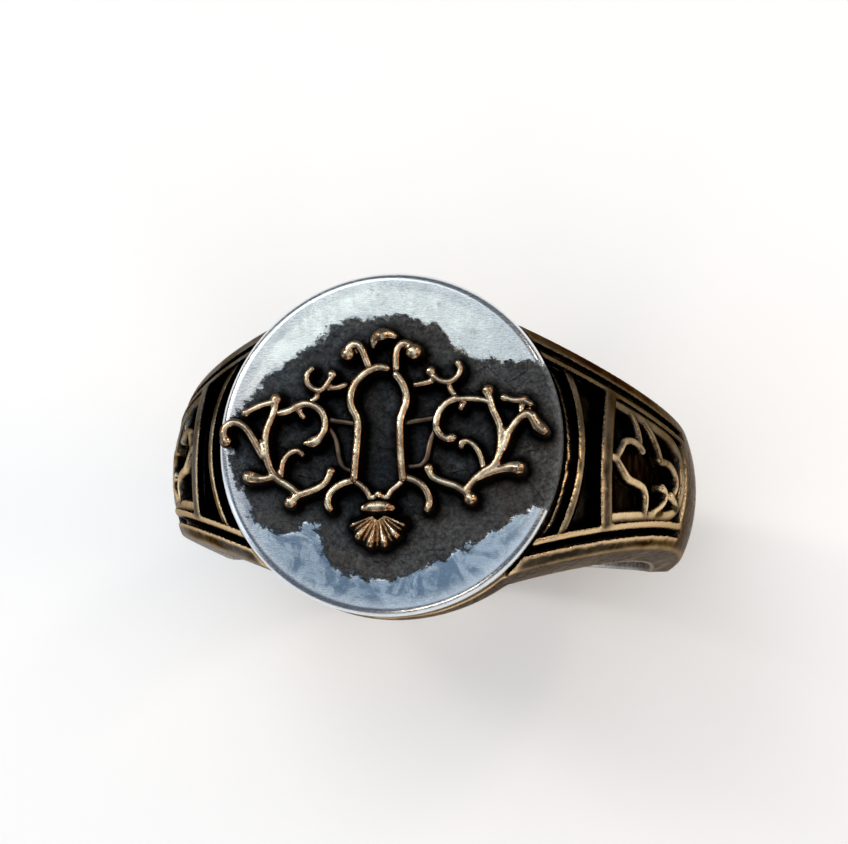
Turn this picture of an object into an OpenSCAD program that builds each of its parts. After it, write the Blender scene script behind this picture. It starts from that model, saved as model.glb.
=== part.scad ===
// Signet ring with an applied keyhole ornament and pierced scrollwork on its shoulders.
// The origin is the centre of the finger bore, +Y runs along the finger and +Z faces out of the signet.

/* [Band] */
// Inside diameter, which sets the finger size
bore_d = 19.8; // [19.4:0.1:20.2]
// Thickness of the band at its sides and back
wall = 2; // [1.8:0.1:2.2]
// Width of the band at its sides
side_w = 5.2; // [5:0.1:5.6]
// Width of the band at its back
back_w = 3.6; // [3.4:0.1:4.4]
// Radius of the band's crown, from edge to edge across its width
crown_r = 7.2; // [7.1:0.1:8]
// Radius of the shoulders, seen along the finger
shoulder_r = 18.4; // [18.2:0.1:18.8]

/* [Signet] */
// Diameter of the face
face_d = 14.2; // [14:0.1:14.4]
// Thickness of the face plate
face_t = 0.6; // [0.4:0.1:0.8]
// Height of the drum under the face plate
drum_h = 1.1; // [0.8:0.1:1.4]
// Height of the seat above the bore
seat_h = 1; // [0.8:0.1:1.2]
// Radius of the rounded rim of the face plate
rim_r = 0.25; // [0.15:0.05:0.35]

/* [Shoulder pattern] */
// Depth of the recessed bays and panels
recess = 0.6; // [0.4:0.1:0.8]
// Width of the plain rail along each edge
rail_w = 0.5; // [0.4:0.1:0.8]
// Width of the groove inside the rail
groove_w = 0.3; // [0.2:0.02:0.4]
// Depth of that groove
groove_t = 0.4; // [0.2:0.1:0.5]
// Width of the frame line between the groove and the panel
frame_w = 0.24; // [0.2:0.02:0.4]
// Distance from the ring's middle to the bar beside the panel
bar_x = 8.5; // [8.4:0.1:8.7]
// Width of that bar
bar_w = 0.42; // [0.3:0.02:0.5]
// Height above the bore's centre where the panel ends
panel_end_z = 3.1; // [2.8:0.1:3.3]

/* [Ornament] */
// Height of the tallest wires above the face
wire_h = 1; // [0.8:0.05:1.1]
// Turn of the whole ornament on the face
ornament_turn = 2.5; // [-3:0.5:3]
// Shift of the whole ornament to the left on the face
ornament_shift = 0.2; // [0:0.05:0.3]

/* [Hidden] */

$fn = 96;
big = 40;                                    // longer than the ring is in any direction
overlap = 0.02;                              // makes two joined shapes run into each other
bore_r = bore_d / 2;
side_r = bore_r + wall;                      // outside radius at the sides and back
shoulder_off = shoulder_r - side_r;          // how far each shoulder's centre lies past the middle
seat_z = bore_r + seat_h;
drum_r = face_d / 2 - 0.05;
crown_cut = 0.12;                            // how much is cut off the crown where it falls away
plate_z = seat_z + drum_h;
face_z = plate_z + face_t;
seat_r = face_d / 2 + 0.05;                  // clearance round the drum

// The band's outline seen from above: a round head, and shoulders that taper to the sides.
// The tapers start from a circle inside the head and run out along its tangents.
taper_r = drum_r - 0.45;
taper_angle = acos(taper_r / norm([side_r, side_w / 2])) + atan(side_w / 2 / side_r);
taper_x0 = taper_r * cos(taper_angle);
function half_w(x) = side_w / 2 + (side_r - x) / tan(taper_angle);

// Ridge and bay beside the face
ridge_r = 7.66;
ridge_w = 0.24;
ridge_top = 0.15;                            // how far the ridge stays below the shoulder's surface
ridge_angle = 36;                            // half the angle that the ridge spans
bay_r = 6.95;                                // the bay and the grooves stop short of the head here
bay_x = 5;                                   // nearest point of the bay to the ring's middle
groove_end_z = panel_end_z - 0.5;            // height where the grooves end
side_ease = 0.3;                             // the back's outline starts this far outside the tapers

silver = "#9aa3ab";
dark_silver = "#4b4a4a";
bronze = "#b98a63";
dark_bronze = "#7d5f48";

// ---------------------------------------------------------------- solids of the band

// A crowned disc about an axis along Y: radius r at its middle, falling towards its edges.
// Its seam points down, or up where the disc's lower half is the one that is used.
module crowned(r, crown, seam = -90) {
    rotate([90, 0, 0])
        rotate([0, 0, seam])
        rotate_extrude(angle = 360)
            union() {
                translate([0, -crown + crown_cut])
                    square([r - crown + overlap, 2 * (crown - crown_cut)]);
                intersection() {
                    translate([r - crown, 0]) circle(r = crown);
                    translate([r - crown, -crown + crown_cut])
                        square([crown + 1, 2 * (crown - crown_cut)]);
                }
            }
}

// The outside of the shoulders, sunk by t below the surface
module shoulder_layer(t) {
    intersection() {
        translate([-shoulder_off, 0, 0]) crowned(shoulder_r - t, crown_r - t);
        translate([shoulder_off, 0, 0]) crowned(shoulder_r - t, crown_r - t);
        translate([-big / 2, -big / 2, 0]) cube([big, big, big]);
    }
}

// Everything inside the band's outline seen from above, less a margin along its tapered edges
module plan_outline(margin) {
    w0 = half_w(taper_x0) - margin;
    w1 = half_w(side_r + 1) - margin;
    translate([0, 0, -big / 2])
        linear_extrude(height = big)
            polygon([
                [-side_r - 1, -w1], [-taper_x0, -w0], [taper_x0, -w0], [side_r + 1, -w1],
                [side_r + 1, w1], [taper_x0, w0], [-taper_x0, w0], [-side_r - 1, w1]
            ]);
}

// Everything inside the band's outline seen from the side, which narrows towards the back
module front_outline() {
    top_w = half_w(bore_r) + side_ease;
    rotate([90, 0, 90])
        translate([0, 0, -big / 2])
            linear_extrude(height = big)
                polygon([
                    [-back_w / 2, -side_r - 1], [back_w / 2, -side_r - 1],
                    [top_w, 0], [big / 2, overlap], [big / 2, big / 2],
                    [-big / 2, big / 2], [-big / 2, overlap], [-top_w, 0]
                ]);
}

module round_prism(r, z0, z1) {
    translate([0, 0, z0]) cylinder(r = r, h = z1 - z0);
}

module bore() {
    rotate([90, 0, 0]) cylinder(r = bore_r, h = big, center = true);
}

// The strip between two margins along the band's tapered edges
module edge_strip(outer, inner) {
    difference() {
        plan_outline(outer);
        plan_outline(inner);
    }
}

// ---------------------------------------------------------------- shank and head

module shank() {
    inset = rail_w + groove_w + frame_w;
    color(dark_silver)
        difference() {
            union() {
                intersection() {
                    shoulder_layer(0);
                    union() {
                        plan_outline(0);
                        round_prism(drum_r, bore_r / 2, seat_z);
                    }
                }
                intersection() {
                    crowned(side_r, crown_r, 90);
                    plan_outline(0);
                    front_outline();
                    translate([-big / 2, -big / 2, -big]) cube([big, big, big]);
                }
            }
            bore();
            round_prism(seat_r, seat_z, big / 2);
            for (side = [0, 1]) mirror([side, 0, 0]) shoulder_recesses(inset);
            edge_grooves();
        }
}

// The bay beside the face and the panel beyond the bar, cut down to an even depth
module shoulder_recesses(inset) {
    difference() {
        intersection() {
            plan_outline(inset);
            union() {
                translate([bay_x, -big / 2, panel_end_z]) cube([bar_x - bay_x, big, big]);
                translate([bar_x + bar_w, -big / 2, panel_end_z]) cube([big, big, big]);
            }
        }
        round_prism(bay_r, 0, big);
        shoulder_layer(recess);
    }
}

// A narrow groove along both edges of both shoulders
module edge_grooves() {
    difference() {
        intersection() {
            edge_strip(rail_w, rail_w + groove_w);
            translate([-big / 2, -big / 2, groove_end_z]) cube([big, big, big]);
        }
        round_prism(bay_r, 0, big);
        shoulder_layer(groove_t);
    }
}

module signet_drum() {
    color(dark_silver) round_prism(drum_r, seat_z, plate_z);
}

module face_plate() {
    r = face_d / 2;
    color(silver)
        translate([0, 0, plate_z])
            rotate_extrude(angle = 360)
                polygon(concat(
                    [[0, 0], [r, 0]],
                    [for (a = [0:15:90])
                        [r - rim_r + rim_r * cos(a), face_t - rim_r + rim_r * sin(a)]],
                    [[0, face_t]]
                ));
}

// The raised rib that follows the face, standing on the bay's floor
module collar_ridge() {
    difference() {
        intersection() {
            rotate([0, 0, -ridge_angle])
                rotate_extrude(angle = 2 * ridge_angle)
                    translate([ridge_r, bore_r / 2]) square([ridge_w, big / 2]);
            shoulder_layer(ridge_top);
            plan_outline(rail_w + groove_w);
        }
        shoulder_layer(recess);
    }
}

module collar_ridge_left() { color(dark_bronze) mirror([1, 0, 0]) collar_ridge(); }
module collar_ridge_right() { color(dark_bronze) collar_ridge(); }

// ---------------------------------------------------------------- wires that follow a smooth curve

// A row holds a point of the wire's middle line, its half width there and its height: [u, v, w, h].
wire_steps = 3;                              // rings between two rows
wire_sink = 0.04;                            // how deep a wire is soldered into its base
wire_draft = 1.12;                           // how much wider a wire is at its foot
dome = [0, 45, 90, 135, 180];                // angles of the points across a wire's round top
round_off = [40, 78];                        // angles of the rings that round an end
ball_sides = 11;
ball_angles = [-35, -10, 15, 38, 60, 80];    // angles of a ball's rings, up from its post

function wire(points, w, h) = [for (p = points) [p[0], p[1], w, h]];
function row(rows, i) = rows[max(0, min(len(rows) - 1, i))];

// A smooth curve through the rows, by Catmull-Rom
function curve(a, b, c, d, t) =
    0.5 * (2 * b + (c - a) * t
        + (2 * a - 5 * b + 4 * c - d) * t * t
        + (3 * b - a - 3 * c + d) * t * t * t);
function smooth(rows) = concat(
    [for (i = [0:len(rows) - 2])
        for (k = [0:wire_steps - 1])
            curve(row(rows, i - 1), row(rows, i), row(rows, i + 1), row(rows, i + 2), k / wire_steps)],
    [row(rows, len(rows) - 1)]
);

function unit(v) = v / norm(v);
function heading(rows, i) =
    let (a = row(rows, i - 1), b = row(rows, i + 1)) unit([b[0] - a[0], b[1] - a[1]]);

// A ring: [u, v, half width, height of the dome's centre, direction]
function ring(r, dir, shift, angle) =
    [r[0] + dir[0] * shift, r[1] + dir[1] * shift, r[2] * cos(angle), r[3] - r[2], dir];
function rings(rows) =
    let (last = len(rows) - 1, d0 = heading(rows, 0), d1 = heading(rows, last))
    concat(
        [for (k = [len(round_off) - 1:-1:0])
            ring(rows[0], d0, -rows[0][2] * sin(round_off[k]), round_off[k])],
        [for (i = [0:last]) ring(rows[i], heading(rows, i), 0, 0)],
        [for (k = [0:len(round_off) - 1])
            ring(rows[last], d1, rows[last][2] * sin(round_off[k]), round_off[k])]
    );

// The points of one ring, each [u, v, h], from its right foot over its top to its left foot
function ring_point(g, side, h) = [g[0] + g[4][1] * side, g[1] - g[4][0] * side, h];
function ring_points(g) = concat(
    [ring_point(g, g[2] * wire_draft, -wire_sink)],
    [for (a = dome) ring_point(g, g[2] * cos(a), g[3] + g[2] * sin(a))],
    [ring_point(g, -g[2] * wire_draft, -wire_sink)]
);

// Places a point [u, v, h] on the flat face, or on the floor of the right shoulder's panel,
// where u runs from the bar towards the back, v along the finger and h stands off the floor.
panel_angle = acos((bar_x + bar_w + shoulder_off) / shoulder_r);
function on_panel(p) =
    let (
        angle = panel_angle - p[0] / shoulder_r * 180 / PI,
        crown = crown_r - recess + p[2],
        reach = shoulder_r - crown_r + sqrt(crown * crown - p[1] * p[1])
    )
    [reach * cos(angle) - shoulder_off, p[1], reach * sin(angle)];

module sweep(rows, panel = false) {
    g = rings(smooth(rows));
    skin([for (r = g) [for (p = ring_points(r)) panel ? on_panel(p) : p]]);
}

// A closed skin over a row of rings that have the same number of points
module skin(all_rings) {
    n = len(all_rings[0]);
    last = len(all_rings) - 1;
    polyhedron(
        points = [for (r = all_rings) for (p = r) p],
        faces = concat(
            [[for (j = [n - 1:-1:0]) j]],
            [for (i = [0:last - 1]) for (j = [0:n - 1])
                [i * n + j, i * n + (j + 1) % n, (i + 1) * n + j]],
            [for (i = [0:last - 1]) for (j = [0:n - 1])
                [(i + 1) * n + j, i * n + (j + 1) % n, (i + 1) * n + (j + 1) % n]],
            [[for (j = [0:n - 1]) last * n + j]]
        )
    );
}

// A ball of radius r whose top is h above the face, on a short post
function ball_ring(u, v, r, z) =
    [for (k = [ball_sides:-1:1])
        let (a = 360 * k / ball_sides)
        [u + r * cos(a), v + r * sin(a), z]];
module granule(u, v, r, h) {
    skin(concat(
        [ball_ring(u, v, r * cos(ball_angles[0]), -wire_sink)],
        [for (a = ball_angles) ball_ring(u, v, r * cos(a), h - r + r * sin(a))]
    ));
}

// Joins a piece's wires, brings the piece to its full height and solders it onto the face
module on_face(h) {
    translate([-ornament_shift, 0, face_z - wire_sink])
        rotate([0, 0, ornament_turn])
            resize([0, 0, h + wire_sink])
                translate([0, 0, wire_sink])
                    children();
}

// ---------------------------------------------------------------- keyhole and crest

frame_wire = 0.2;                            // half widths of the wires
scroll_wire = 0.19;
twig_wire = 0.15;
rib_wire = 0.15;
mid_h = wire_h * 0.88;                       // heights of the wires above the face
low_h = wire_h * 0.78;
rib_h = wire_h * 0.55;

module keyhole_frame() {
    color(bronze) on_face(wire_h) {
        sweep(wire([
            [0.24, 2.84], [-0.04, 2.9], [-0.36, 2.82], [-0.72, 2.6], [-1.06, 2.2], [-1.22, 1.72],
            [-1.16, 1.25], [-0.95, 0.85], [-0.9, 0.4], [-0.94, -0.3], [-1, -1.1], [-1.04, -1.66]
        ], frame_wire, wire_h));
        sweep(wire([
            [0.66, 2.56], [0.92, 2.2], [1.06, 1.8], [1.06, 1.36], [0.9, 0.92], [0.82, 0.5],
            [0.84, -0.3], [0.89, -1.1], [0.95, -1.68]
        ], frame_wire, wire_h));
    }
}

module frame_foot() {
    color(bronze) on_face(wire_h) {
        sweep(wire([[-0.98, -1.78], [-0.74, -1.95], [-0.5, -2.2], [-0.38, -2.46]], twig_wire, mid_h));
        sweep(wire([[0.92, -1.78], [0.74, -1.95], [0.5, -2.14], [0.34, -2.4]], twig_wire, mid_h));
        granule(-0.27, -2.44, 0.15, mid_h);
        granule(-0.03, -2.32, 0.19, wire_h);
        granule(0.2, -2.44, 0.15, mid_h);
    }
}

module crest_bead() {
    color(bronze) on_face(wire_h) {
        sweep([
            [0.54, 4.2, 0.16, low_h], [0.3, 4.28, 0.26, mid_h], [0, 4.24, 0.33, wire_h],
            [-0.26, 4.08, 0.25, mid_h], [-0.34, 3.84, 0.15, low_h]
        ]);
    }
}

module crest_scroll_left() {
    color(bronze) on_face(wire_h) {
        sweep(wire([
            [-0.5, 2.98], [-0.6, 3.25], [-0.74, 3.6], [-0.95, 3.86], [-1.22, 3.84], [-1.38, 3.58]
        ], scroll_wire, wire_h));
        granule(-1.38, 3.5, 0.36, wire_h);
    }
}

module crest_scroll_right() {
    color(bronze) on_face(wire_h) {
        sweep(wire([
            [0.62, 2.84], [0.62, 3.2], [0.66, 3.6], [0.86, 3.86], [1.12, 3.84], [1.28, 3.66]
        ], scroll_wire, mid_h));
        granule(1.36, 3.52, 0.42, wire_h);
    }
}

// ---------------------------------------------------------------- hooks beside the frame

module hook_scroll_left() {
    color(bronze) on_face(mid_h) {
        sweep(wire([
            [-2.85, 2.92], [-3.06, 2.68], [-3.02, 2.34], [-2.78, 2.08], [-2.5, 2.02], [-2.26, 2.2],
            [-2.1, 2.46]
        ], twig_wire, mid_h));
        sweep(wire([[-2.2, 2.12], [-1.8, 2.14], [-1.46, 2.24]], twig_wire, low_h));
        sweep(wire([[-2.58, 1.96], [-2.66, 1.74], [-2.86, 1.6]], twig_wire, low_h));
        granule(-2.02, 2.67, 0.25, mid_h);
    }
}

module hook_scroll_right() {
    color(bronze) on_face(mid_h) {
        sweep(wire([
            [3.18, 2.95], [3.28, 2.74], [3.14, 2.44], [2.84, 2.24], [2.44, 2.28], [2.16, 2.5]
        ], twig_wire, mid_h));
        sweep(wire([[2.24, 2.34], [1.84, 2.24], [1.4, 2.16]], twig_wire, low_h));
        sweep(wire([[2.8, 2.16], [2.86, 1.9], [3.04, 1.68]], twig_wire, low_h));
        granule(2.04, 2.7, 0.26, mid_h);
        granule(3.16, 3, 0.17, mid_h);
    }
}

// ---------------------------------------------------------------- scrolls and ribs beside the frame

module inner_scroll_left() {
    color(bronze) on_face(mid_h) {
        sweep(wire([
            [-4.16, 1.12], [-3.76, 1.22], [-3.42, 1.42], [-3.08, 1.48], [-2.72, 1.38],
            [-2.42, 1.12], [-2.28, 0.72], [-2.34, 0.3], [-2.56, 0.02]
        ], scroll_wire, mid_h));
        sweep([
            [-2.44, 0.14, 0.18, mid_h], [-2.6, -0.02, 0.27, mid_h],
            [-2.84, -0.12, 0.3, mid_h], [-3.1, -0.14, 0.13, low_h]
        ]);
        sweep(wire([[-3.46, 1.36], [-3.34, 1.14], [-3.22, 0.96]], twig_wire, low_h));
    }
}

module inner_scroll_right() {
    color(bronze) on_face(mid_h) {
        sweep(wire([
            [3.08, 1.56], [2.7, 1.36], [2.42, 1.04], [2.28, 0.62], [2.32, 0.28], [2.52, 0],
            [2.76, -0.12]
        ], scroll_wire, mid_h));
        sweep(wire([[3.08, 1.5], [3.5, 1.52], [4.02, 1.48], [4.42, 1.38]], twig_wire, mid_h));
        sweep(wire([[3.44, 1.52], [3.4, 1.34], [3.28, 1.16]], twig_wire, low_h));
        granule(2.92, -0.06, 0.25, mid_h);
    }
}

module inner_rib_left() {
    color(dark_bronze) on_face(rib_h) {
        sweep(wire([[-2.26, 0.86], [-1.9, 0.8], [-1.5, 0.74], [-1.14, 0.66]], rib_wire, rib_h));
        sweep(wire([
            [-2.24, 0.56], [-1.98, 0.2], [-1.82, -0.24], [-1.74, -0.74], [-1.56, -1.12], [-1.2, -1.3]
        ], rib_wire, rib_h));
    }
}

module inner_rib_right() {
    color(dark_bronze) on_face(rib_h) {
        sweep(wire([[2.3, 0.86], [1.9, 0.78], [1.4, 0.72], [1.02, 0.66]], rib_wire, rib_h));
        sweep(wire([
            [2.24, 0.4], [2.06, 0], [1.94, -0.4], [1.86, -0.8], [1.62, -1.1], [1.12, -1.16]
        ], rib_wire, rib_h));
    }
}

// ---------------------------------------------------------------- outer branches

module branch_left() {
    color(bronze) on_face(wire_h) {
        sweep(wire([
            [-4.36, 1.56], [-4.4, 1.24], [-4.5, 0.94], [-4.66, 0.58], [-4.75, 0.2], [-4.75, -0.16],
            [-4.7, -0.56], [-4.6, -0.96], [-4.42, -1.36], [-4.16, -1.64], [-3.86, -1.82], [-3.56, -2.04],
            [-3.4, -2.2]
        ], scroll_wire, mid_h));
        granule(-4.34, 1.72, 0.28, mid_h);
        sweep(wire([[-5.52, 1.2], [-5.24, 1.34], [-4.9, 1.48], [-4.42, 1.58]], twig_wire, mid_h));
        granule(-5.6, 1.16, 0.22, mid_h);
        sweep(wire([
            [-6.46, 0.1], [-6.5, 0.46], [-6.28, 0.74], [-5.94, 0.76], [-5.6, 0.56],
            [-5.3, 0.16], [-5.04, -0.3], [-4.82, -0.66]
        ], scroll_wire, mid_h));
        granule(-6.42, 0.02, 0.29, mid_h);
        sweep([
            [-5.38, -1.48, 0.34, wire_h], [-5.08, -1.54, 0.28, mid_h],
            [-4.8, -1.58, 0.18, mid_h], [-4.42, -1.5, 0.18, mid_h]
        ]);
        sweep(wire([
            [-3.52, -2.4], [-3.26, -2.24], [-2.86, -2.12], [-2.48, -1.96], [-2.2, -1.74], [-2.06, -1.44]
        ], scroll_wire, mid_h));
        granule(-3.66, -2.54, 0.34, mid_h);
        granule(-2.02, -1.32, 0.24, mid_h);
        sweep(wire([
            [-4.06, -1.68], [-4.08, -1.2], [-3.96, -0.78], [-3.7, -0.5], [-3.4, -0.44], [-3.24, -0.58]
        ], twig_wire, low_h));
    }
}

module branch_right() {
    color(bronze) on_face(wire_h) {
        sweep(wire([
            [4.38, 1.7], [4.48, 1.42], [4.56, 1.12], [4.68, 0.84], [4.84, 0.5], [4.9, 0.1], [4.9, -0.4],
            [4.8, -0.88], [4.56, -1.26], [4.24, -1.44], [3.94, -1.68], [3.66, -1.98], [3.5, -2.24]
        ], scroll_wire, mid_h));
        granule(4.36, 1.84, 0.31, mid_h);
        sweep(wire([[5.14, 1.5], [5.44, 1.4], [5.8, 1.4], [6.1, 1.24]], twig_wire, mid_h));
        granule(5.04, 1.52, 0.2, mid_h);
        granule(5.86, 1.42, 0.2, mid_h);
        sweep(wire([
            [4.94, -0.62], [5.08, -0.3], [5.22, 0.1], [5.44, 0.44], [5.72, 0.74], [6.02, 0.86],
            [6.22, 0.7]
        ], scroll_wire, mid_h));
        sweep([
            [6.04, 0.84, 0.19, mid_h], [6.22, 0.6, 0.23, mid_h], [6.4, 0.32, 0.29, mid_h],
            [6.62, 0.14, 0.24, mid_h]
        ]);
        sweep(wire([[5.78, 0.7], [5.72, 1.02], [5.78, 1.32]], twig_wire, low_h));
        sweep([
            [3.96, -1.72, 0.18, mid_h], [4.4, -1.54, 0.18, mid_h], [4.9, -1.38, 0.2, mid_h],
            [5.26, -1.3, 0.3, mid_h], [5.6, -1.34, 0.36, wire_h]
        ]);
        sweep(wire([
            [2.02, -1.42], [2.18, -1.66], [2.6, -1.86], [3.1, -2.02], [3.5, -2.3]
        ], scroll_wire, mid_h));
        granule(1.98, -1.28, 0.26, mid_h);
        granule(3.68, -2.53, 0.34, mid_h);
        sweep(wire([
            [3.3, -0.4], [3.3, -0.24], [3.54, -0.2], [3.82, -0.38], [4.04, -0.72], [4.16, -1.1],
            [4.2, -1.44]
        ], twig_wire, low_h));
    }
}

// ---------------------------------------------------------------- volutes, collar bead and shell

module volute_left() {
    color(bronze) on_face(mid_h) {
        sweep(wire([
            [-1.12, -1.72], [-1.46, -1.8], [-1.8, -1.98], [-2.06, -2.28], [-2.14, -2.6], [-2.04, -2.84]
        ], scroll_wire, mid_h));
    }
}

module volute_right() {
    color(bronze) on_face(mid_h) {
        sweep(wire([
            [1.06, -1.64], [1.42, -1.76], [1.78, -2.02], [1.98, -2.36], [2.02, -2.7], [1.94, -2.92]
        ], scroll_wire, mid_h));
    }
}

module collar_bead() {
    color(bronze) on_face(wire_h) {
        sweep([
            [-0.62, -2.84, 0.2, mid_h], [-0.4, -2.82, 0.27, wire_h], [-0.04, -2.8, 0.3, wire_h],
            [0.3, -2.82, 0.26, wire_h], [0.48, -2.86, 0.19, mid_h]
        ]);
    }
}

// The fluted shell: lobes that fan out from its neck, the middle ones longest
shell_neck = [-0.1, -3.02];
shell_lobes = 6;
shell_spread = 80;                           // angle of the outer edges from the middle
shell_reach = 1.42;                          // mean length of a lobe
shell_extra = 0.14;                          // what the middle lobes add to it
shell_scallop = 0.1;                         // share of the length that the hem loses in a flute
shell_flute = 0.32;                          // share of the height that a flute loses
shell_hem = 0.4;                             // share of the height that is left at the outer edges
shell_steps = 6;                             // steps across one lobe
shell_rows = [0.16, 0.4, 0.62, 0.82, 0.95, 1];    // shares of the length where the height is given
shell_rise = [0.72, 0.8, 0.92, 1, 0.86, 0.55];    // shares of the height there

// 1 along the middle of a lobe and 0 in the flute between two
function lobe(i) = abs(sin(180 * i / shell_steps));
function shell_ring(i) =
    let (
        a = -shell_spread + 2 * shell_spread * i / (shell_steps * shell_lobes),
        reach = (shell_reach + shell_extra * cos(2 * a)) * (1 - shell_scallop * (1 - lobe(i))),
        dir = [sin(a), -cos(a)],
        edge = min(1, shell_hem + min(i, shell_steps * shell_lobes - i) / shell_steps)
    )
    concat(
        [concat(shell_neck + dir * reach * shell_rows[0], -wire_sink)],
        [for (k = [0:len(shell_rows) - 1])
            concat(
                shell_neck + dir * reach * shell_rows[k],
                mid_h * edge * shell_rise[k] * (1 - shell_flute * (1 - lobe(i)))
            )],
        [concat(shell_neck + dir * reach, -wire_sink)]
    );

module shell_pendant() {
    color(bronze) on_face(mid_h)
        skin([for (i = [shell_steps * shell_lobes:-1:0]) shell_ring(i)]);
}

// ---------------------------------------------------------------- shoulder tracery

lattice_h = recess - 0.04;                   // height of the lattice above the panel's floor
lattice_w = 5.68;                            // width of the lattice across the panel
lattice_wire = 0.18;                         // half widths of its bars and of its border,
border_wire = 0.31;                          // which is let into the panel's walls

// Joins the lattice's bars, brings it to its width and ends it inside the bar beside the panel
module tracery() {
    intersection() {
        resize([0, lattice_w, 0]) tracery_bars();
        translate([bar_x + bar_w / 2, -big / 2, 0]) cube([big, big, big]);
    }
}

module tracery_bars() {
    sweep(wire([
        [0.14, 2.3], [0.6, 2.5], [1.5, 2.34], [3, 2.1], [4.6, 1.88], [5.9, 1.68], [6.86, 1.2],
        [7.24, 0.36], [7.24, -0.4], [6.86, -1.22], [5.9, -1.68], [4.6, -1.88], [3, -2.1],
        [1.5, -2.34], [0.6, -2.5], [0.14, -2.3]
    ], border_wire, lattice_h), true);
    sweep(wire([
        [-0.05, 0.02], [0.45, 0], [0.9, -0.32], [1.5, -0.7], [2.2, -0.8], [2.74, -0.9],
        [3.1, -1.2], [3.26, -1.6], [3.34, -2.06]
    ], lattice_wire, lattice_h), true);
    sweep(wire([
        [0.5, 0.04], [0.8, 0.4], [1.1, 0.76], [1.6, 0.92], [2.16, 0.88], [2.6, 0.64]
    ], lattice_wire, lattice_h), true);
    sweep(wire([
        [1.88, 2.24], [2.16, 1.84], [2.3, 1.44], [2.36, 0.98]
    ], lattice_wire, lattice_h), true);
    sweep(wire([
        [3, 2], [3.62, 1.5], [4.06, 0.94], [4.34, 0.5], [4.9, 0.5], [5.5, 0.44], [6.1, 0.16],
        [6.34, -0.24], [6.1, -0.64]
    ], lattice_wire, lattice_h), true);
    sweep(wire([
        [4.1, -1.82], [4.66, -1.52], [5.06, -1.12], [5, -0.78], [4.6, -0.62]
    ], lattice_wire, lattice_h), true);
    sweep(wire([[5.7, -0.8], [6.2, -0.96], [6.7, -1.2]], lattice_wire, lattice_h), true);
}

module tracery_left() { color(dark_bronze) mirror([1, 0, 0]) tracery(); }
module tracery_right() { color(dark_bronze) tracery(); }

shank();
signet_drum();
face_plate();
collar_ridge_left();
collar_ridge_right();
tracery_left();
tracery_right();
keyhole_frame();
frame_foot();
crest_bead();
crest_scroll_left();
crest_scroll_right();
hook_scroll_left();
hook_scroll_right();
inner_scroll_left();
inner_scroll_right();
inner_rib_left();
inner_rib_right();
branch_left();
branch_right();
volute_left();
volute_right();
collar_bead();
shell_pendant();
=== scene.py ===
import math

import bpy
import numpy as np
from mathutils import Euler, Matrix, Vector, noise
from mathutils.kdtree import KDTree


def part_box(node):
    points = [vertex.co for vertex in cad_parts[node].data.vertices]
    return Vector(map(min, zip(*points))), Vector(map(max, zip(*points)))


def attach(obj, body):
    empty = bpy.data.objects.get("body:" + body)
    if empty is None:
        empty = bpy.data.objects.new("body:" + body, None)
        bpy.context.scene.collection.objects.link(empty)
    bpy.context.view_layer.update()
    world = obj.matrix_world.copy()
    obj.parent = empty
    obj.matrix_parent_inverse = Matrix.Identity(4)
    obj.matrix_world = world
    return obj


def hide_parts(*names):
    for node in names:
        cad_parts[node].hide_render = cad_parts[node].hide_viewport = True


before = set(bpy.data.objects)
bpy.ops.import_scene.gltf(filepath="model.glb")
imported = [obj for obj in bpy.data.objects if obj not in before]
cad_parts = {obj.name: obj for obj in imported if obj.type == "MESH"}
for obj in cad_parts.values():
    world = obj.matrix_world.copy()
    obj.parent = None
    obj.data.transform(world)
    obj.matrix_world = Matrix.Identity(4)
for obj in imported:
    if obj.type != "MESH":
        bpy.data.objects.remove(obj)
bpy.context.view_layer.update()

# A blackened silver signet ring with a rose bronze keyhole ornament.
# Lengths are in millimetres until a piece is placed, because voxels this fine need a larger unit.
MM = 0.001

PLATE_LOW, PLATE_HIGH = (corner / MM for corner in map(np.array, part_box("face_plate")))
FACE_R = PLATE_HIGH[0]
FACE_Z = PLATE_HIGH[2]
RIM = 0.36                      # radius of the plate's rolled rim
SHANK_LOW, SHANK_HIGH = (corner / MM for corner in map(np.array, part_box("shank")))
SIDE_R = SHANK_HIGH[0]
WALL = 2.0
BORE_R = SIDE_R - WALL

# Radii of the shoulders' outside, seen along the finger and across it
SHOULDER_R = 18.4
CROWN_R = 7.2

# Voxels lie askew to the ring, so that no long edge runs along them in steps
ASKEW = Euler((0.5, 0.6, 0.4)).to_matrix().to_4x4()

ORNAMENT = (
    "keyhole_frame", "frame_foot", "crest_bead", "crest_scroll_left", "crest_scroll_right",
    "hook_scroll_left", "hook_scroll_right", "inner_scroll_left", "inner_scroll_right",
    "branch_left", "branch_right", "volute_left", "volute_right", "collar_bead", "shell_pendant",
)
DARK_ORNAMENT = ("inner_rib_left", "inner_rib_right")
SHOULDER_PIECES = ("collar_ridge_left", "collar_ridge_right", "tracery_left", "tracery_right")

# Rounds of averaging that find the edges of a piece and then ease them, and the share of its
# vertices, in percent, that stay below a full edge
EDGE_REACH, EDGE_EASE, FULL_EDGE = 12, 16, 98

# Outline of the blackened field on the face, anticlockwise from its right side
FIELD = (
    (7.4, -2.3), (7.4, 2.9), (5.6, 3.3), (4.4, 3.4), (3.3, 3.5), (2.6, 4.0), (1.7, 4.8), (0.4, 5.1),
    (-1.2, 5.0), (-2.5, 4.7), (-3.3, 3.9), (-4.1, 3.3), (-5.1, 2.7), (-5.9, 1.5), (-6.6, 0.8),
    (-6.7, 0.1), (-6.4, -0.9), (-6.2, -1.7), (-5.8, -2.5), (-5.3, -3.4), (-4.1, -3.9), (-3.3, -3.3),
    (-2.7, -3.7), (-2.3, -4.8), (-1.6, -5.3), (0.0, -5.6), (1.6, -5.1), (2.8, -4.5), (4.4, -3.6),
    (5.4, -2.9), (6.2, -2.5),
)


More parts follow.
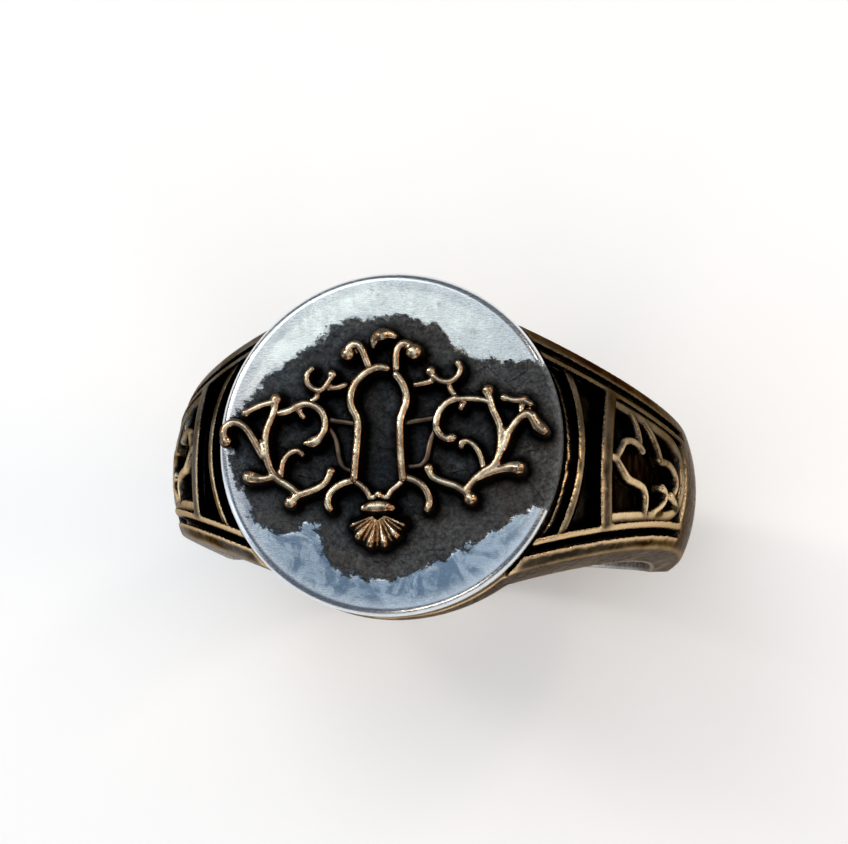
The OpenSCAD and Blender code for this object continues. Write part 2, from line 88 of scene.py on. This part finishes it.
# ---------------------------------------------------------------- shader graphs

class Graph:
    """A material under construction. Textures read the object's own coordinates, in millimetres."""

    def __init__(self, name):
        self.material = bpy.data.materials.new(name)
        self.material.use_nodes = True
        self.tree = self.material.node_tree
        self.tree.nodes.clear()
        self.shader = self.add("ShaderNodeBsdfPrincipled")
        output = self.add("ShaderNodeOutputMaterial")
        self.tree.links.new(self.shader.outputs[0], output.inputs["Surface"])
        coordinates = self.add("ShaderNodeTexCoord").outputs["Object"]
        scale = self.add("ShaderNodeVectorMath", operation="SCALE")
        self.tree.links.new(coordinates, scale.inputs[0])
        scale.inputs["Scale"].default_value = 1 / MM
        self.place = scale.outputs[0]

    def add(self, kind, **settings):
        """A new node."""
        node = self.tree.nodes.new(kind)
        for key, value in settings.items():
            setattr(node, key, value)
        return node

    def feed(self, socket, value):
        """Links a socket, or sets a constant on it."""
        if isinstance(value, bpy.types.NodeSocket):
            self.tree.links.new(value, socket)
        else:
            socket.default_value = value

    def math(self, operation, a, b):
        node = self.add("ShaderNodeMath", operation=operation)
        self.feed(node.inputs[0], a)
        self.feed(node.inputs[1], b)
        return node.outputs[0]

    def axis(self, vector, name):
        """One component of a vector."""
        node = self.add("ShaderNodeSeparateXYZ")
        self.feed(node.inputs[0], vector)
        return node.outputs[name]

    def centred(self, value, width):
        """A noise about zero, widened."""
        return self.math("MULTIPLY", self.math("SUBTRACT", value, 0.5), width)

    def noise(self, scale, detail=3.0, roughness=0.55, stretch=None, turn=0.0, distortion=0.0):
        place = self.place
        if stretch:
            mapping = self.add("ShaderNodeMapping")
            mapping.inputs["Scale"].default_value = stretch
            mapping.inputs["Rotation"].default_value = (0, 0, turn)
            self.feed(mapping.inputs["Vector"], place)
            place = mapping.outputs[0]
        node = self.add("ShaderNodeTexNoise")
        self.feed(node.inputs["Vector"], place)
        self.feed(node.inputs["Scale"], scale)
        self.feed(node.inputs["Detail"], detail)
        self.feed(node.inputs["Roughness"], roughness)
        self.feed(node.inputs["Distortion"], distortion)
        return node.outputs["Fac"]

    def cells(self, scale):
        """The distance to the nearest border between cells."""
        node = self.add("ShaderNodeTexVoronoi", feature="DISTANCE_TO_EDGE")
        self.feed(node.inputs["Vector"], self.place)
        self.feed(node.inputs["Scale"], scale)
        return node.outputs["Distance"]

    def ramp(self, value, low, high, to_low=0.0, to_high=1.0):
        """A smooth step of value from low to high."""
        node = self.add("ShaderNodeMapRange", interpolation_type="SMOOTHSTEP", clamp=True)
        for name, entry in zip(("Value", "From Min", "From Max", "To Min", "To Max"),
                               (value, low, high, to_low, to_high)):
            self.feed(node.inputs[name], entry)
        return node.outputs[0]

    def mix(self, factor, a, b):
        """A colour from a to b."""
        node = self.add("ShaderNodeMix", data_type="RGBA")
        self.feed(node.inputs["Factor"], factor)
        for socket, value in zip([s for s in node.inputs if s.type == "RGBA"], (a, b)):
            self.feed(socket, value if isinstance(value, bpy.types.NodeSocket) else (*value, 1))
        return next(s for s in node.outputs if s.type == "RGBA")

    def attribute(self, name):
        return self.add("ShaderNodeAttribute", attribute_name=name).outputs["Fac"]

    def bump(self, height, distance, strength=1.0, normal=None):
        node = self.add("ShaderNodeBump")
        self.feed(node.inputs["Height"], height)
        self.feed(node.inputs["Distance"], distance * MM)
        self.feed(node.inputs["Strength"], strength)
        if normal:
            self.feed(node.inputs["Normal"], normal)
        return node.outputs[0]

    def finish(self, **inputs):
        """Feeds the shader and returns the finished material."""
        for name, value in inputs.items():
            self.feed(self.shader.inputs[name.replace("_", " ").title()], value)
        return self.material


def scratches(g):
    """Fine scratches that run several ways, as on polished silver that has been worn."""
    first = g.noise(2.6, 2.0, stretch=(1, 22, 1), turn=0.6)
    second = g.noise(3.1, 2.0, stretch=(1, 26, 1), turn=-0.9)
    third = g.noise(2.2, 1.0, stretch=(1, 18, 1), turn=2.2)
    return g.math("MAXIMUM", first, g.math("MAXIMUM", second, third))


def polished_colour(g):
    """Cloudy silver with a blush at the left, whiter at the far side and darker and bluer at the near
    side as painted reflection.
    """
    sheen = g.centred(g.noise(0.34, 4.0, 0.6), 9.0)
    # Painted reflection: near darkens the silver and turns it bluer towards the near side of the plate.
    near = g.ramp(g.math("ADD", g.axis(g.place, "Y"), sheen), 2.5, -5.5)
    cloudy = g.ramp(g.noise(0.6, 7.0, 0.7, distortion=1.4), 0.44, 0.58)
    silver = g.mix(near, (0.74, 0.78, 0.76), (0.2, 0.28, 0.37))
    clouds = g.mix(near, (0.84, 0.88, 0.85), (0.56, 0.65, 0.72))
    silver = g.mix(g.math("MULTIPLY", cloudy, 0.8), silver, clouds)
    blush = g.ramp(g.math("ADD", g.axis(g.place, "X"), g.math("MULTIPLY", sheen, 0.3)), -4.8, -6.8)
    silver = g.mix(g.math("MULTIPLY", blush, 0.35), silver, (0.7, 0.55, 0.53))
    tarnish = g.ramp(g.noise(2.1, 7.0, 0.75), 0.53, 0.7)
    silver = g.mix(g.math("MULTIPLY", tarnish, 0.4), silver, (0.16, 0.18, 0.2))
    # Painted highlight: the rolled rim is whitened.
    return g.mix(g.ramp(g.attribute("rim"), 0.0, 1.0, 0.0, 0.75), silver, (0.8, 0.83, 0.85))


def blackened_colour(g, grain, creases):
    """Oxide rubbed grey on its grain, black in its creases, and blackest beside the ornament, where
    painted shade is added to the oxide.
    """
    tone = g.ramp(g.noise(0.5, 3.0), 0.35, 0.65)
    lit = g.mix(tone, (0.21, 0.21, 0.205), (0.23, 0.26, 0.28))
    black = g.mix(g.ramp(grain, 0.3, 0.72), (0.07, 0.071, 0.073), lit)
    in_crease = g.math("MULTIPLY", g.math("SUBTRACT", 1.0, creases), 0.5)
    black = g.mix(in_crease, black, (0.014, 0.014, 0.015))
    # Painted shade beside the ornament, on top of the oxide kept there.
    return g.mix(g.attribute("oxide_and_shade_by_ornament"), black, (0.006, 0.005, 0.005))


def face_silver():
    """Polished rim round a blackened, leathery field. The attribute field is the distance into it."""
    g = Graph("face_silver")
    ragged = g.centred(g.noise(2.6, 7.0, 0.75, distortion=0.4), 1.3)
    field = g.ramp(g.math("ADD", g.attribute("field"), ragged), -0.1, 0.08)
    grain = g.noise(6.5, 9.0, 0.72)
    creases = g.ramp(g.cells(1.5), 0.0, 0.02)
    colour = g.mix(field, polished_colour(g), blackened_colour(g, grain, creases))
    marks = scratches(g)
    rough = g.math("ADD", g.ramp(marks, 0.5, 0.8, 0.2, 0.34), g.math("MULTIPLY", field, 0.1))
    folds = g.noise(1.9, 6.0, 0.64, distortion=2.2)
    leather = g.math("ADD", g.math("MULTIPLY", grain, 0.5), g.math("MULTIPLY", creases, 0.25))
    leather = g.math("ADD", leather, folds)
    normal = g.bump(g.math("MULTIPLY", leather, field), 0.18)
    normal = g.bump(marks, 0.006, 0.5, normal)
    return g.finish(base_color=colour, metallic=1.0, roughness=rough, normal=normal)


def worn_and_lit_bronze(name, bright, dark, shade, crest_highlight):
    """Bronze, bright on its rounded tops from wear and a painted highlight, black down its sides and on
    the face from patina and painted shade.
    """
    g = Graph(name)
    geometry = g.add("ShaderNodeNewGeometry")
    sides, tops = FACE_Z + 0.25, FACE_Z + 0.85
    # Low parts by the face turn black: patina together with painted shade.
    rise = g.ramp(g.axis(g.place, "Z"), sides, tops)
    patches = g.centred(g.noise(3.2, 5.0, 0.65), 0.5)
    # Painted light: faces turned up are lit, faces turned aside are shaded.
    painted_top_light = g.ramp(g.math("ADD", g.axis(geometry.outputs["Normal"], "Z"), patches), 0.5, 1.0)
    # worn holds the wear on the tops together with this painted light.
    worn = g.math("MULTIPLY", painted_top_light, rise)
    tinge = g.ramp(g.noise(1.1, 4.0, 0.6), 0.42, 0.62)
    # dark is the patina and painted shade of the sides. shade and bright are tones that vary at random.
    colour = g.mix(g.ramp(worn, 0.0, 0.6), dark, g.mix(tinge, shade, bright))
    # Painted highlight on the crests.
    crest_highlight_mask = g.math("MULTIPLY", g.ramp(worn, 0.7, 1.0), g.ramp(tinge, 0.0, 1.0, 0.4, 1.0))
    colour = g.mix(crest_highlight_mask, colour, crest_highlight)
    rough = g.ramp(worn, 0.0, 1.0, 0.46, 0.17)
    normal = g.bump(g.noise(7.0, 7.0, 0.62), 0.03, 0.6)
    return g.finish(base_color=colour, metallic=1.0, roughness=rough, normal=normal)


def black_silver(name, high, rubbed):
    """Oxidised silver: black in the recesses, rubbed to a warm brown on its high surfaces and edges.

    The left shoulder is cooler and lighter as painted reflection, and the edges carry a painted
    highlight, brightest at the near side.
    """
    g = Graph(name)
    patches = g.centred(g.noise(0.9, 6.0, 0.65), 0.45)
    worn = g.ramp(g.math("ADD", g.attribute("depth"), patches), 0.3, 0.02)
    streaks = g.ramp(g.noise(2.2, 4.0, 0.6, stretch=(1, 0.25, 1)), 0.42, 0.75)
    black = g.mix(streaks, (0.008, 0.007, 0.006), (0.035, 0.028, 0.021))
    clouds = g.ramp(g.noise(0.55, 5.0, 0.6), 0.36, 0.64)
    # Painted reflection: the left shoulder is made cooler and lighter.
    painted_left_reflection = g.mix(g.ramp(g.axis(g.place, "X"), 2.0, -6.0), high, (0.13, 0.14, 0.15))
    surface = g.mix(clouds, painted_left_reflection, tuple(0.35 * c for c in high))
    colour = g.mix(worn, black, surface)
    # Painted highlight on the edges, brightest at the near side and faint at the far side.
    along = g.math("ADD", g.axis(g.place, "Y"), g.math("MULTIPLY", patches, 11.0))
    near = g.ramp(along, 1.6, -1.6, 0.12, 1.0)
    edge = g.ramp(g.math("ADD", g.attribute("edge"), g.math("MULTIPLY", patches, 0.9)), 0.15, 0.85)
    # rubbed colours the edges with their wear and the painted highlight together.
    colour = g.mix(g.math("MULTIPLY", edge, near), colour, rubbed)
    worn_inside = g.mix(clouds, (0.5, 0.49, 0.47), (0.36, 0.35, 0.33))
    colour = g.mix(g.attribute("inside"), colour, worn_inside)
    grain = g.noise(4.0, 7.0, 0.65)
    rough = g.ramp(grain, 0.3, 0.75, 0.2, 0.38)
    normal = g.bump(grain, 0.035, 0.5)
    normal = g.bump(scratches(g), 0.006, 0.4, normal)
    return g.finish(base_color=colour, metallic=1.0, roughness=rough, normal=normal,
                    specular_tint=(0.42, 0.36, 0.3, 1))


def pale_floor():
    g = Graph("pale_floor")
    tone = g.mix(g.noise(0.02, 4.0), (0.86, 0.86, 0.86), (0.9, 0.9, 0.9))
    return g.finish(base_color=tone, roughness=0.8)


# ---------------------------------------------------------------- meshes

def link(name, mesh):
    piece = bpy.data.objects.new(name, mesh)
    bpy.context.scene.collection.objects.link(piece)
    return piece


def vertex_rows(mesh, what):
    """One row of three numbers per vertex."""
    flat = np.empty(len(mesh.vertices) * 3)
    mesh.vertices.foreach_get(what, flat)
    return flat.reshape(-1, 3)


def positions(mesh):
    return vertex_rows(mesh, "co")


def store(mesh, name, values):
    """Keeps one value per vertex for the materials."""
    mesh.attributes.new(name, "FLOAT", "POINT").data.foreach_set("value", np.ascontiguousarray(values))


def smoothed(values, edges, rounds):
    """Averages values over neighbouring vertices."""
    count = np.bincount(edges.ravel(), minlength=len(values))[:, None]
    for _ in range(rounds):
        total = np.zeros_like(values)
        np.add.at(total, edges[:, 0], values[edges[:, 1]])
        np.add.at(total, edges[:, 1], values[edges[:, 0]])
        values = 0.5 * values + 0.5 * total / np.maximum(count, 1)
    return values


def mesh_edges(mesh):
    flat = np.empty(len(mesh.edges) * 2, dtype=np.int64)
    mesh.edges.foreach_get("vertices", flat)
    return flat.reshape(-1, 2)


def sharpness(mesh):
    """How far each vertex stands out of its surroundings, from -1 in a crease to 1 on an edge."""
    points, edges = positions(mesh), mesh_edges(mesh)
    around = smoothed(points, edges, EDGE_REACH)
    out = np.einsum("ij,ij->i", points - around, vertex_rows(mesh, "normal"))
    out = smoothed(out[:, None], edges, EDGE_EASE)[:, 0]
    return np.clip(out / np.percentile(np.abs(out), FULL_EDGE), -1, 1)


def search_tree(points):
    """Finds the nearest of many points."""
    tree = KDTree(len(points))
    for index, p in enumerate(points):
        tree.insert(p, index)
    tree.balance()
    return tree


def shoulder_depth(points):
    """Depth below the band's outside, in millimetres."""
    x, z = np.abs(points[:, 0]), points[:, 2]
    y = np.clip(points[:, 1], 1 - CROWN_R, CROWN_R - 1)
    reach = SHOULDER_R - CROWN_R + np.sqrt(CROWN_R ** 2 - y ** 2)
    upper = reach - np.hypot(x + SHOULDER_R - SIDE_R, z)
    lower = SIDE_R - SHOULDER_R + reach - np.hypot(x, z)
    return np.where(z > 0, upper, lower)


def inner_face(points):
    """1 on the inside of the band, where a finger keeps it bright."""
    reach, fade = 0.25, 0.2
    return np.clip((BORE_R + reach - np.hypot(points[:, 0], points[:, 2])) / fade, 0, 1)


def cast(node, voxel, soften, most_faces=None):
    """A copy of a CAD node with the soft edges and joints of a casting.

    Its edges are found before any faces are merged, while its vertices are evenly spaced.
    """
    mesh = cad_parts[node].data.copy()
    mesh.transform(ASKEW @ Matrix.Scale(1 / MM, 4))
    piece = link(node + "_cast", mesh)
    remesh = piece.modifiers.new("Voxels", "REMESH")
    remesh.mode = "VOXEL"
    remesh.voxel_size = voxel
    soft = piece.modifiers.new("Soft", "SMOOTH")
    soft.factor = 0.5
    soft.iterations = soften
    bake(piece)
    piece.data.transform(ASKEW.inverted())
    edge, dense = sharpness(piece.data), positions(piece.data)
    if most_faces:
        fewer = piece.modifiers.new("Fewer", "DECIMATE")
        fewer.ratio = min(1.0, most_faces / (2 * len(piece.data.polygons)))
        bake(piece)
        tree = search_tree(dense)
        edge = edge[[tree.find(p)[1] for p in positions(piece.data)]]
    store(piece.data, "edge", edge)
    return piece


def bake(piece):
    """Applies a piece's modifiers."""
    graph = bpy.context.evaluated_depsgraph_get()
    solid = bpy.data.meshes.new_from_object(piece.evaluated_get(graph))
    piece.modifiers.clear()
    piece.data = solid


def stand_in(piece, node, material):
    """Brings a finished piece to metres and lets it stand for its CAD node."""
    piece.data.transform(Matrix.Scale(MM, 4))
    piece.data.shade_smooth()
    piece.data.materials.clear()
    piece.data.materials.append(material)
    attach(piece, "root")
    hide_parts(node)


def fractal(points, scale, octaves, seed):
    """Fractal noise at each point, about zero. The seed moves it to another part of the noise."""
    shift = seed * Vector((13.7, 5.3, 9.1))
    fineness, step = 1.0, 2.0
    return np.array([noise.fractal(Vector(p) * scale + shift, fineness, step, octaves) for p in points])


# ---------------------------------------------------------------- the face plate

def distance_into(outline, points):
    """Signed distance of points from a closed outline, positive inside."""
    start = np.array(outline)
    end = np.roll(start, -1, axis=0)
    away = np.full(len(points), np.inf)
    inside = np.zeros(len(points), dtype=bool)
    for a, b in zip(start, end):
        along = np.clip((points - a) @ (b - a) / np.dot(b - a, b - a), 0, 1)
        away = np.minimum(away, np.linalg.norm(points - a - along[:, None] * (b - a), axis=1))
        spans = (a[1] > points[:, 1]) != (b[1] > points[:, 1])
        rise = (points[:, 1] - a[1]) / np.where(b[1] == a[1], 1e-9, b[1] - a[1])
        inside ^= spans & (points[:, 0] < a[0] + rise * (b[0] - a[0]))
    return np.where(inside, away, -away)


def rounded_outline(outline, steps):
    """A smooth closed curve through the outline's points."""
    p = np.array(outline)
    before, after, later = np.roll(p, 1, axis=0), np.roll(p, -1, axis=0), np.roll(p, -2, axis=0)
    bend = 2 * before - 5 * p + 4 * after - later
    twist = 3 * p - before - 3 * after + later
    shares = [k / steps for k in range(steps)]
    rows = [0.5 * (2 * p + (after - before) * t + bend * t ** 2 + twist * t ** 3) for t in shares]
    return np.stack(rows, axis=1).reshape(-1, 2)


def plate_profile():
    """The plate's outline from its middle to its foot, as rows of radius and height."""
    spacing, rim_steps, foot = 0.08, 8, 0.05
    profile = [(r, FACE_Z) for r in np.arange(spacing, FACE_R - RIM, spacing)]
    for k in range(rim_steps + 1):
        angle = math.pi / 2 * (1 - k / rim_steps)
        profile.append((FACE_R - RIM + RIM * math.cos(angle), FACE_Z - RIM + RIM * math.sin(angle)))
    return profile + [(FACE_R, PLATE_LOW[2] + foot), (FACE_R - foot, PLATE_LOW[2])]


def plate_mesh():
    """A disc with a rolled rim, whose face is fine enough to carry its own relief."""
    segments = 540
    profile = plate_profile()
    turn = np.linspace(0, 2 * math.pi, segments, endpoint=False)
    rings = [np.stack([r * np.cos(turn), r * np.sin(turn), np.full(segments, z)], axis=1)
             for r, z in profile]
    points = np.concatenate([[(0, 0, FACE_Z)], *rings, [(0, 0, PLATE_LOW[2])]])
    last = len(points) - 1
    around = [(j, (j + 1) % segments) for j in range(segments)]
    faces = [(0, 1 + j, 1 + k) for j, k in around]
    for i in range(len(profile) - 1):
        a, b = 1 + i * segments, 1 + (i + 1) * segments
        faces += [(a + j, b + j, b + k, a + k) for j, k in around]
    a = 1 + (len(profile) - 1) * segments
    faces += [(a + j, last, a + k) for j, k in around]
    return points, faces


def oxide_and_shade_by_ornament(points):
    """1 right beside the ornament and under it, as oxide with painted shade, 0 a little way off, where
    polishing reaches the face.
    """
    near, reach, fall = 0.1, 0.42, 1.5
    wires = np.concatenate([positions(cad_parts[node].data) / MM for node in ORNAMENT])
    tree = search_tree([(x, y, 0) for x, y, _ in wires])
    away = np.array([tree.find((x, y, 0))[2] for x, y, _ in points])
    return np.clip(1 - (away - near) / reach, 0, 1) ** fall


def face_plate():
    """The plate with a slightly sunk, leathery field. Its relief fades out towards the rolled rim."""
    margin, fade = 0.12, 0.4
    rim_reach, rim_fade = 0.75, 0.5
    points, faces = plate_mesh()
    field = distance_into(rounded_outline(FIELD, 5), points[:, :2])
    field += 0.22 * fractal(points, 1.4, 4, 1)
    sunk = np.clip(field / margin + 0.5, 0, 1)
    away = np.hypot(points[:, 0], points[:, 1])
    on_top = np.clip((FACE_R - RIM - away) / fade, 0, 1) * (points[:, 2] > FACE_Z - 0.01)
    leather = 0.012 * fractal(points, 3.0, 5, 2) - 0.032
    polish = 0.010 * fractal(points, 0.5, 2, 3) - 0.012
    points[:, 2] += on_top * (sunk * leather + (1 - sunk) * polish)
    mesh = bpy.data.meshes.new("face_plate_relief")
    mesh.from_pydata(points.tolist(), [], faces)
    store(mesh, "field", field)
    # Oxide with painted shade beside the ornament.
    store(mesh, "oxide_and_shade_by_ornament", oxide_and_shade_by_ornament(points))
    # rim places the painted highlight along the rolled rim.
    store(mesh, "rim", np.clip((away - FACE_R + rim_reach) / rim_fade, 0, 1))
    mesh.update()
    return link("face_plate_relief", mesh)


# ---------------------------------------------------------------- the object

def build_ring():
    """Every piece stands for one CAD node."""
    band = black_silver("blackened_silver", high=(0.075, 0.058, 0.042), rubbed=(0.7, 0.52, 0.31))
    # The collar ridges and tracery get a lighter copy of the band's silver: their wear with a painted
    # highlight.
    highlit_ridge = black_silver("worn_edge", high=(0.13, 0.105, 0.075), rubbed=(0.85, 0.64, 0.38))
    bronze = worn_and_lit_bronze("rose_bronze", bright=(0.42, 0.26, 0.135), dark=(0.012, 0.008, 0.005),
                         shade=(0.3, 0.16, 0.085), crest_highlight=(0.98, 0.8, 0.55))
    dark = worn_and_lit_bronze("dark_bronze", bright=(0.24, 0.17, 0.12), dark=(0.01, 0.008, 0.006),
                       shade=(0.12, 0.08, 0.06), crest_highlight=(0.5, 0.44, 0.36))

    shank = cast("shank", voxel=0.065, soften=11, most_faces=180000)
    drum = cast("signet_drum", voxel=0.12, soften=2)
    pieces = [(shank, "shank", band, "blackened_silver")]
    pieces += [(drum, "signet_drum", band, "blackened_silver")]
    pieces += [(cast(n, voxel=0.05, soften=6), n, highlit_ridge, "worn_edge") for n in SHOULDER_PIECES]
    pieces += [(cast(n, voxel=0.045, soften=3), n, bronze, "bronze") for n in ORNAMENT]
    pieces += [(cast(n, voxel=0.045, soften=3), n, dark, "dark_bronze") for n in DARK_ORNAMENT]
    for piece, node, material, slot in pieces:
        store(piece.data, "depth", shoulder_depth(positions(piece.data)))
        store(piece.data, "inside", inner_face(positions(piece.data)))
        stand_in(piece, node, material)
    stand_in(face_plate(), "face_plate", face_silver())


# ---------------------------------------------------------------- stage, light and camera

def stage():
    """A large pale floor under the ring, and a dim bluish world."""
    half = 1.5
    corners = [(-half, -half), (half, -half), (half, half), (-half, half)]
    mesh = bpy.data.meshes.new("floor")
    mesh.from_pydata([(x, y, SHANK_LOW[2] * MM) for x, y in corners], [], [(0, 1, 2, 3)])
    mesh.materials.append(pale_floor())
    floor = link("floor", mesh)
    world = bpy.data.worlds.new("studio")
    world.use_nodes = True
    background = world.node_tree.nodes["Background"]
    background.inputs["Color"].default_value = (0.7, 0.82, 1.0, 1)
    background.inputs["Strength"].default_value = 0.16
    bpy.context.scene.world = world
    bpy.context.scene.view_settings.view_transform = "Standard"


def softbox(name, place_mm, size_mm, radiance, colour, mirrored=True):
    """An area light that faces the ring. Metal doesn't mirror the one that only whitens the floor."""
    light = bpy.data.lights.new(name, "AREA")
    light.shape = "RECTANGLE"
    light.size, light.size_y = (s * MM for s in size_mm)
    light.energy = radiance * math.pi * light.size * light.size_y
    light.color = colour
    lamp = bpy.data.objects.new(name, light)
    lamp.location = Vector(place_mm) * MM
    lamp.rotation_euler = lamp.location.to_track_quat("Z", "Y").to_euler()
    lamp.visible_glossy = mirrored
    bpy.context.scene.collection.objects.link(lamp)


def lights():
    """Large pale boxes above, small bright ones for the glints, and warm ones at the right and front."""
    softbox("key", (-100, 125, 240), (150, 150), 1.9, (0.98, 1.0, 0.99))
    softbox("sky", (40, -30, 280), (240, 240), 0.66, (0.78, 0.88, 1.0))
    softbox("glint_left", (-190, 90, 160), (40, 60), 14.0, (1.0, 0.95, 0.88))
    softbox("glint_right", (170, 150, 180), (40, 50), 12.0, (1.0, 0.84, 0.62))
    softbox("warm_right", (220, 0, 110), (50, 150), 6.0, (1.0, 0.72, 0.46))
    softbox("warm_front", (60, -230, 120), (150, 40), 6.0, (1.0, 0.84, 0.66))
    softbox("cool_left", (-240, -60, 60), (90, 160), 1.6, (0.78, 0.88, 1.0))
    softbox("wash", (0, 0, 500), (700, 700), 1.4, (1.0, 1.0, 1.0), mirrored=False)


def camera():
    """Looks at the face from a little to the right and from the near side, slightly rolled."""
    turn, tilt, roll = (math.radians(a) for a in (9.66, 10.1, 2.79))
    distance, aside, above = 92.0, 1.45, 0.78
    back = Vector((math.sin(turn) * math.cos(tilt), -math.sin(tilt), math.cos(turn) * math.cos(tilt)))
    level = Vector((math.cos(turn), 0, -math.sin(turn)))
    upright = back.cross(level)
    right = math.cos(roll) * level + math.sin(roll) * upright
    up = math.cos(roll) * upright - math.sin(roll) * level
    spot = Vector((0, 0, FACE_Z)) + distance * back + aside * right + above * up
    eye = bpy.data.objects.new("camera", bpy.data.cameras.new("camera"))
    eye.data.lens = 96.0
    eye.data.clip_start = 1 * MM
    eye.matrix_world = Matrix.Translation(spot * MM) @ Matrix((right, up, back)).transposed().to_4x4()
    bpy.context.scene.collection.objects.link(eye)
    bpy.context.scene.camera = eye


build_ring()
stage()
lights()
camera()
